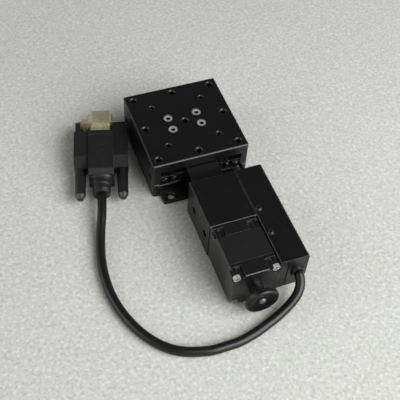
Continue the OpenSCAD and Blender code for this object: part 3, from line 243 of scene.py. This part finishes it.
class Shader:
    """A node material in the making. Each method adds nodes and returns an output socket."""

    def __init__(self, name, **sockets):
        self.mat = bpy.data.materials.new(name)
        self.mat.use_nodes = True
        self.tree = self.mat.node_tree
        self.bsdf = self.tree.nodes["Principled BSDF"]
        for key, value in sockets.items():
            self.set(key.replace("_", " ").title().replace("Ior", "IOR"), value)

    def put(self, value, socket):
        """Links the value to the socket, or sets it there if it is a constant."""
        if isinstance(value, bpy.types.NodeSocket):
            self.tree.links.new(value, socket)
        else:
            socket.default_value = value

    def set(self, socket, value):
        self.put(value, self.bsdf.inputs[socket])

    def add(self, kind, inputs=(), **props):
        node = self.tree.nodes.new("ShaderNode" + kind)
        for key, value in props.items():
            setattr(node, key, value)
        for key, value in dict(inputs).items():
            self.put(value, node.inputs[key])
        return node

    def point(self):
        """The point in the part's frame."""
        return self.add("TexCoord").outputs["Object"]

    def place(self, stretch=(1, 1, 1), shift=(0, 0, 0)):
        """The same point, multiplied by a factor along each axis and shifted."""
        return self.add(
            "Mapping", {"Vector": self.point(), "Scale": stretch, "Location": shift}
        ).outputs["Vector"]

    def axis(self, axis):
        """One coordinate of the point in the part's frame."""
        return self.add("SeparateXYZ", {0: self.point()}).outputs[axis]

    def noise(self, size, detail, rough=0.5, stretch=(1, 1, 1), shift=(0, 0, 0)):
        """Noise with features of about that size in metres."""
        return self.add(
            "TexNoise",
            {
                "Vector": self.place(stretch, shift), "Scale": 1 / size,
                "Detail": detail, "Roughness": rough,
            },
        ).outputs["Fac"]

    def span(self, value, low, high, to_low=0.0, to_high=1.0):
        """Maps low..high to to_low..to_high and stops at both ends."""
        return self.add(
            "MapRange",
            {
                "Value": value, "From Min": low, "From Max": high,
                "To Min": to_low, "To Max": to_high,
            },
        ).outputs["Result"]

    def maths(self, operation, a, b=0.0):
        return self.add("Math", {0: a, 1: b}, operation=operation).outputs[0]

    def times(self, a, b):
        return self.maths("MULTIPLY", a, b)

    def mix(self, share, a, b):
        """The colour a where the share is 0 and b where it is 1."""
        node = self.add("Mix", {"Factor": share}, data_type="RGBA")
        for socket, value in ((node.inputs[6], a), (node.inputs[7], b)):
            self.put(value if isinstance(value, bpy.types.NodeSocket) else (*value, 1), socket)
        return node.outputs[2]

    def bump(self, height, distance, strength, normal=None):
        inputs = {"Height": height, "Distance": distance, "Strength": strength}
        if normal is not None:
            inputs["Normal"] = normal
        return self.add("Bump", inputs).outputs["Normal"]

    def rounded(self, radius):
        """Normals rounded off over the edges of the solid."""
        return self.add("Bevel", {"Radius": radius}, samples=4).outputs["Normal"]

    def edges(self, radius):
        """1 along the solid's edges and 0 on its faces."""
        flat = self.add("NewGeometry").outputs["Normal"]
        agree = self.add(
            "VectorMath", {0: self.rounded(radius), 1: flat}, operation="DOT_PRODUCT"
        ).outputs["Value"]
        return self.span(agree, 1 - EDGE_SHARP, 1 - EDGE_SHARP / 6, 1.0, 0.0)

    def worn_edges(self, radius, patch, detail, low, high, share):
        """Wear along the edges, in patches of about that size, up to that share."""
        rub = self.times(self.edges(radius), self.span(self.noise(patch, detail), low, high))
        return self.times(rub, share)

    def roughness(self, skin, low, high):
        """Sets a roughness that varies with the noise."""
        self.set("Roughness", self.span(skin, NOISE_LOW, NOISE_HIGH, low, high))

    def seen(self):
        """1 for rays from the camera and for glossy and transmitted ones, else 0."""
        rays = self.add("LightPath").outputs
        straight = self.maths("MAXIMUM", rays["Is Camera Ray"], rays["Is Glossy Ray"])
        return self.maths("MAXIMUM", straight, rays["Is Transmission Ray"])


def scaled(colour, factor):
    return [c * factor for c in colour]


def anodised(name):
    """Black anodised aluminium: blasted grain, faint cloudy tone, scratches, and edges lightened
    partly as wear and partly as a painted highlight.
    """
    s = Shader(name, specular_ior_level=0.38)
    tone = 0.0042
    cloud = s.noise(0.011, 4)
    fine = s.noise(0.00022, 2)
    base = s.mix(cloud, (tone * 0.8, tone * 0.8, tone * 0.82), (tone * 1.25,) * 3)
    # Edge mask: partly rubbed wear and partly a painted highlight along the edges, lightened to
    # the grey below.
    rub = s.worn_edges(0.00028, 0.0022, 5, 0.38, 0.58, 0.5)
    scratch = s.span(s.noise(0.0011, 3, stretch=(0.25, 2.2, 1)), 0.66, 0.72)
    rub = s.maths("MAXIMUM", rub, s.times(scratch, 0.06))
    s.set("Base Color", s.mix(rub, base, (0.28, 0.28, 0.285)))
    s.roughness(fine, 0.27, 0.4)
    s.set("Normal", s.bump(fine, 0.00002, 0.35, s.rounded(0.00022)))
    return s.mat


def cast_black(name):
    """Black painted die casting of the motor's bells, rubbed a little lighter at its edges."""
    s = Shader(name)
    skin = s.noise(0.0006, 5, 0.6)
    base = s.mix(s.noise(0.006, 4), (0.004, 0.004, 0.0042), (0.007, 0.007, 0.0072))
    rub = s.worn_edges(0.0003, 0.002, 5, 0.38, 0.6, 0.55)
    s.set("Base Color", s.mix(rub, base, (0.2, 0.2, 0.2)))
    s.roughness(skin, 0.24, 0.4)
    s.set("Normal", s.bump(skin, 0.00004, 0.3, s.rounded(0.00025)))
    return s.mat


def laminated(name, sheet_t=0.0005):
    """The motor's stack: painted steel sheets, whose edges show as fine lines."""
    s = Shader(name)
    sheet = s.span(s.maths("SINE", s.times(s.axis(1), 2 * math.pi / sheet_t)), -1.0, 1.0)
    base = s.mix(s.noise(0.004, 4), (0.003, 0.003, 0.0032), (0.0055, 0.0055, 0.0057))
    s.set("Base Color", s.mix(s.times(sheet, 0.25), base, (0.02, 0.02, 0.02)))
    s.roughness(s.noise(0.0007, 4), 0.36, 0.5)
    s.set("Normal", s.bump(sheet, 0.00003, 0.4, s.rounded(0.00025)))
    return s.mat


def metal(name, colour, rough, grain=0.0003, stretch=(1, 1, 1), end=None):
    """Bare metal with tool marks along the axis of the least stretch, and cloudy tarnish.

    Where end is given, all that lies further from y = 0 than that is painted dark as shade.
    """
    s = Shader(name, metallic=1.0)
    marks = s.noise(grain, 3, stretch=stretch)
    cloud = s.span(s.noise(0.003, 5), 0.35, 0.75)
    tarnished = s.mix(s.times(cloud, 0.25), colour, scaled(colour, 0.6))
    tone = s.mix(s.times(marks, 0.25), tarnished, scaled(colour, 0.75))
    if end is not None:
        far = s.span(s.maths("ABSOLUTE", s.axis(1)), end, end + TONE_STEP)
        # Painted shade: beyond end the metal turns dark grey.
        tone = s.mix(far, tone, (0.05, 0.05, 0.052))
    s.set("Base Color", tone)
    s.roughness(marks, rough - 0.07, rough + 0.1)
    s.set("Normal", s.bump(marks, 0.00002, 0.5, s.rounded(0.00012)))
    return s.mat


def black_steel(name):
    """Black oxide screws: dark metal with an oily sheen, brighter where a key has rubbed."""
    s = Shader(name, metallic=0.85)
    skin = s.noise(0.0004, 4)
    base = s.mix(s.noise(0.0016, 4), (0.016, 0.016, 0.017), (0.04, 0.039, 0.038))
    rub = s.worn_edges(0.00014, 0.0009, 4, 0.35, 0.6, 0.5)
    s.set("Base Color", s.mix(rub, base, (0.2, 0.2, 0.2)))
    s.roughness(skin, 0.36, 0.5)
    s.set("Normal", s.bump(skin, 0.00002, 0.4, s.rounded(0.00012)))
    return s.mat


def screw_with_painted_shade(name, start, axis, shade, bright, rough):
    """Screw steel that is bright beyond start, on start's own side of zero, and painted dark as
    shade before it.
    """
    s = Shader(name, metallic=0.6)
    skin = s.noise(0.0003, 4)
    reach = s.axis(axis) if start > 0 else s.times(s.axis(axis), -1.0)
    shown = s.span(reach, abs(start) - TONE_STEP / 2, abs(start) + TONE_STEP / 2)
    bright_tone = s.mix(s.noise(0.0009, 4), bright, scaled(bright, 0.7))
    s.set("Base Color", s.mix(shown, (shade, shade, shade), bright_tone))
    s.roughness(skin, rough - 0.06, rough + 0.08)
    s.set("Normal", s.bump(skin, 0.00002, 0.4, s.rounded(0.00012)))
    return s.mat


def moulded(name, colour, rough=0.48, lift=(0.12, 0.12, 0.115)):
    """Moulded plastic with an eroded surface, handling dust and paler edges."""
    s = Shader(name)
    grain = s.noise(0.00035, 4, 0.6)
    base = s.mix(s.noise(0.0055, 5), scaled(colour, 0.8), scaled(colour, 1.35))
    rub = s.worn_edges(0.0003, 0.0018, 5, 0.3, 0.6, 0.3)
    dust = s.times(s.span(s.noise(0.0024, 6, 0.7), 0.55, 0.75), 0.12)
    s.set("Base Color", s.mix(s.maths("MAXIMUM", rub, dust), base, lift))
    s.roughness(grain, rough - 0.07, rough + 0.1)
    s.set("Normal", s.bump(grain, 0.00003, 0.6, s.rounded(0.0003)))
    return s.mat


def cable_skin(name):
    """Soft PVC: faint cloudy tone, a broad sheen and a little dust."""
    s = Shader(name, specular_ior_level=0.42)
    fine = s.noise(0.0005, 3)
    base = s.mix(s.noise(0.008, 4), (0.0035, 0.0035, 0.0035), (0.007, 0.007, 0.0068))
    dust = s.times(s.span(s.noise(0.003, 6, 0.7), 0.55, 0.8), 0.06)
    s.set("Base Color", s.mix(dust, base, (0.2, 0.19, 0.17)))
    s.roughness(fine, 0.31, 0.41)
    s.set("Normal", s.bump(fine, 0.00002, 0.5))
    return s.mat


def plated_shell(name, rusty_x=-0.056, clean_x=-0.0515, plate_metallic=0.75):
    """Yellowed zinc plate with brown rust that creeps in from the flange's left end."""
    s = Shader(name, metallic=plate_metallic)
    cloud = s.span(s.noise(0.0035, 5), NOISE_LOW, NOISE_HIGH)
    plate = s.mix(cloud, (0.58, 0.54, 0.39), (0.7, 0.66, 0.5))
    stain = s.span(s.noise(0.0016, 5, 0.65), 0.46, 0.66)
    plate = s.mix(s.times(stain, 0.5), plate, (0.32, 0.27, 0.14))
    reach = s.span(s.axis(0), rusty_x, clean_x, 1.0, 0.0)
    rust = s.times(reach, s.span(s.noise(0.0022, 6, 0.7), 0.36, 0.52))
    rust_tone = s.mix(s.noise(0.0008, 5), (0.1, 0.052, 0.02), (0.22, 0.13, 0.055))
    s.set("Base Color", s.mix(rust, plate, rust_tone))
    s.set("Metallic", s.span(rust, 0.0, 1.0, plate_metallic, 0.0))
    s.set("Roughness", s.span(s.maths("MAXIMUM", rust, stain), 0.0, 1.0, 0.34, 0.75))
    s.set("Normal", s.bump(s.noise(0.0006, 4), 0.00004, 0.5, s.rounded(0.00015)))
    return s.mat


def circuit_board(name, bricks_per_metre=260.0):
    """Green solder mask over copper tracks that show as slightly raised lines."""
    s = Shader(name, coat_weight=0.3, coat_roughness=0.15, roughness=0.35)
    tracks = s.add(
        "TexBrick",
        {
            "Vector": s.place(), "Color1": (0, 0, 0, 1), "Color2": (0.2, 0.2, 0.2, 1),
            "Mortar": (1, 1, 1, 1), "Scale": bricks_per_metre, "Mortar Size": 0.03,
        },
    ).outputs["Fac"]
    s.set("Base Color", s.mix(tracks, (0.012, 0.09, 0.035), (0.03, 0.17, 0.07)))
    s.set("Normal", s.bump(tracks, 0.00004, 0.5))
    return s.mat


def thumbscrew(name, tip, cap=0.0024):
    """Moulded thumbscrew, whose metal end shows over the cap's length from its tip."""
    s = Shader(name)
    along = s.add(
        "VectorMath", {0: s.point(), 1: CABLE_ARRIVE}, operation="DOT_PRODUCT"
    ).outputs["Value"]
    plastic = s.span(along, tip + cap - TONE_STEP, tip + cap)
    fine = s.noise(0.0005, 4)
    s.set("Base Color", s.mix(plastic, (0.12, 0.12, 0.118), (0.0055, 0.0055, 0.0057)))
    s.set("Metallic", s.span(plastic, 0.0, 1.0, 0.9, 0.0))
    s.roughness(fine, 0.4, 0.56)
    s.set("Normal", s.bump(fine, 0.00003, 0.5, s.rounded(0.0002)))
    return s.mat


RAIL_END = 0.0294  # the rails' end faces beyond this are painted dark as shade
LOOKS = {
    "anodised": anodised("anodised_black"),
    "motor_black": cast_black("motor_black"),
    "screw_black": black_steel("screw_black"),
    "bright_steel": metal("bright_steel", (0.72, 0.72, 0.71), 0.26),
    "rail_steel": metal(
        "rail_steel", (0.5, 0.5, 0.51), 0.24, stretch=(1, 0.06, 1), end=RAIL_END
    ),
    "bronze": metal("bronze", (0.62, 0.45, 0.2), 0.34, grain=0.0004),
    "copper": metal("copper_wire", (0.7, 0.33, 0.16), 0.35, grain=0.0005, stretch=(1, 0.1, 1)),
    "coupling_alloy": metal("coupling_alloy", (0.66, 0.66, 0.67), 0.3, stretch=(0.2, 1, 0.2)),
    "black_plastic": moulded("black_plastic", (0.005, 0.005, 0.0052)),
    "rubber": cable_skin("cable_skin"),
    "board": circuit_board("circuit_board"),
    "plated": plated_shell("plated_shell"),
    "insert": moulded("insert_plastic", (0.62, 0.56, 0.42), 0.42, lift=(0.75, 0.7, 0.58)),
}


def reach_along(node, axis):
    """The least and greatest coordinate of a node's points along an axis, in metres."""
    along = [(node.matrix_world @ v.co).dot(axis) for v in node.data.vertices]
    return min(along), max(along)


def dress(obj, material):
    obj.data.materials.clear()
    obj.data.materials.append(material)


slot_of = {p["node"]: p["material_slot"] for p in frame["record"]["subparts"]}
for node_name, obj in NODES.items():
    dress(obj, LOOKS[slot_of[node_name]])
dress(NODES["motor_stator"], laminated("motor_stack"))
# The motor's shaft wears the black screw steel as painted shade.
dress(NODES["motor_shaft"], LOOKS["screw_black"])
for node_name in ("thumbscrew_left", "thumbscrew_right"):
    tip, _ = reach_along(NODES[node_name], CABLE_ARRIVE)
    dress(NODES[node_name], thumbscrew(node_name, tip))

HEAD_FACE = 0.00045  # how deep the table screws' heads are bright from the top; below that their sockets are painted dark as shade
KNOB_SCREW_LOW = 0.001  # lower than any of the knob's screw, which is one tone throughout
BOLT_HEAD = 0.0019  # how deep the motor's bolts are bright from their ends; the rest of each bolt is painted dark as shade
BRIGHT = (0.6, 0.6, 0.59)
_, heads_top = reach_along(NODES["table_screws"], UP)
heads_back, _ = reach_along(NODES["motor_bolts"], Vector((0, 1, 0)))
for node_name, look in {
    "table_screws": ("table_screw", heads_top - HEAD_FACE, 2, 0.015, BRIGHT, 0.42),
    "knob_screw": ("knob_screw", KNOB_SCREW_LOW, 2, 0.03, (0.16, 0.16, 0.16), 0.45),
    "motor_bolts": ("motor_bolt", heads_back + BOLT_HEAD, 1, 0.012, BRIGHT, 0.36),
}.items():
    dress(NODES[node_name], screw_with_painted_shade(*look))
dress(cable_piece, LOOKS["rubber"])
dress(sleeve_piece, LOOKS["black_plastic"])

# ------------------------------------------------------------------ floor, light and world

BACKDROP = (0.615, 0.62, 0.6)
NO_LIGHT = (0, 0, 0)
ROOM_HALF = 3.0
WALL_H = 1.4
EVEN_FROM, EVEN_TO = 0.2, 0.5  # over this distance the floor's tone turns even
ROOM_CORNERS = [
    (-ROOM_HALF, -ROOM_HALF), (ROOM_HALF, -ROOM_HALF), (ROOM_HALF, ROOM_HALF),
    (-ROOM_HALF, ROOM_HALF),
]


def floor_material():
    """Pale grey worktop with a fine light and dark speckle, even in tone far from the stage."""
    s = Shader("worktop", specular_ior_level=0.1, roughness=0.75)
    light = s.span(s.noise(0.0021, 3, 0.6), 0.5, 0.64)
    dark = s.span(s.noise(0.0019, 3, 0.6, shift=(3, 5, 7)), 0.5, 0.66)
    base = s.mix(s.noise(0.09, 3), (0.555, 0.562, 0.533), (0.595, 0.602, 0.572))
    base = s.mix(s.times(light, 0.7), base, (0.735, 0.742, 0.71))
    near = s.mix(s.times(dark, 0.6), base, (0.417, 0.422, 0.4))
    away = s.add("VectorMath", {0: s.place(), 1: FLOOR_CENTRE}, operation="DISTANCE")
    far = s.times(s.span(away.outputs["Value"], EVEN_FROM, EVEN_TO), s.seen())
    s.set("Base Color", s.mix(far, near, NO_LIGHT))
    s.set("Emission Color", (*BACKDROP, 1))
    s.set("Emission Strength", far)
    return s.mat


def make_floor():
    obj = new_object("floor", [(x, y, 0) for x, y in ROOM_CORNERS], [(0, 1, 2, 3)])
    obj.data.materials.append(floor_material())


def make_backdrop():
    """Pale walls round the floor, seen by the camera and in reflections at an even tone."""
    verts = [(x, y, z) for z in (0, WALL_H) for x, y in ROOM_CORNERS]
    faces = [(k, k + 4, (k + 1) % 4 + 4, (k + 1) % 4) for k in range(4)]
    obj = new_object("backdrop", verts, faces)
    s = Shader("backdrop_paper", roughness=0.8)
    s.set("Emission Color", (*BACKDROP, 1))
    s.set("Base Color", s.mix(s.seen(), (0.3, 0.3, 0.3), NO_LIGHT))
    s.set("Emission Strength", s.seen())
    obj.data.materials.append(s.mat)


def area_lamp(name, towards, distance, size, power):
    """A square lamp in the given direction from the middle of the stage."""
    data = bpy.data.lights.new(name, "AREA")
    data.shape, data.size, data.energy = "SQUARE", size, power
    obj = bpy.data.objects.new(name, data)
    bpy.context.scene.collection.objects.link(obj)
    way = Vector(towards).normalized()
    obj.location = Vector(FLOOR_CENTRE) + way * distance
    obj.rotation_euler = (-way).to_track_quat("-Z", "Y").to_euler()


def make_world(light):
    """A dim grey room."""
    world = bpy.data.worlds.new("studio")
    world.use_nodes = True
    world.node_tree.nodes["Background"].inputs["Color"].default_value = (light, light, light, 1)
    bpy.context.scene.world = world


make_floor()
make_backdrop()
area_lamp("key", towards=(0.5, -0.66, 0.66), distance=1.1, size=1.0, power=21)
area_lamp("left_fill", towards=(-0.85, 0.15, 0.5), distance=1.2, size=0.9, power=4.5)
make_world(0.09)

scene = bpy.context.scene
scene.view_settings.view_transform = "Standard"
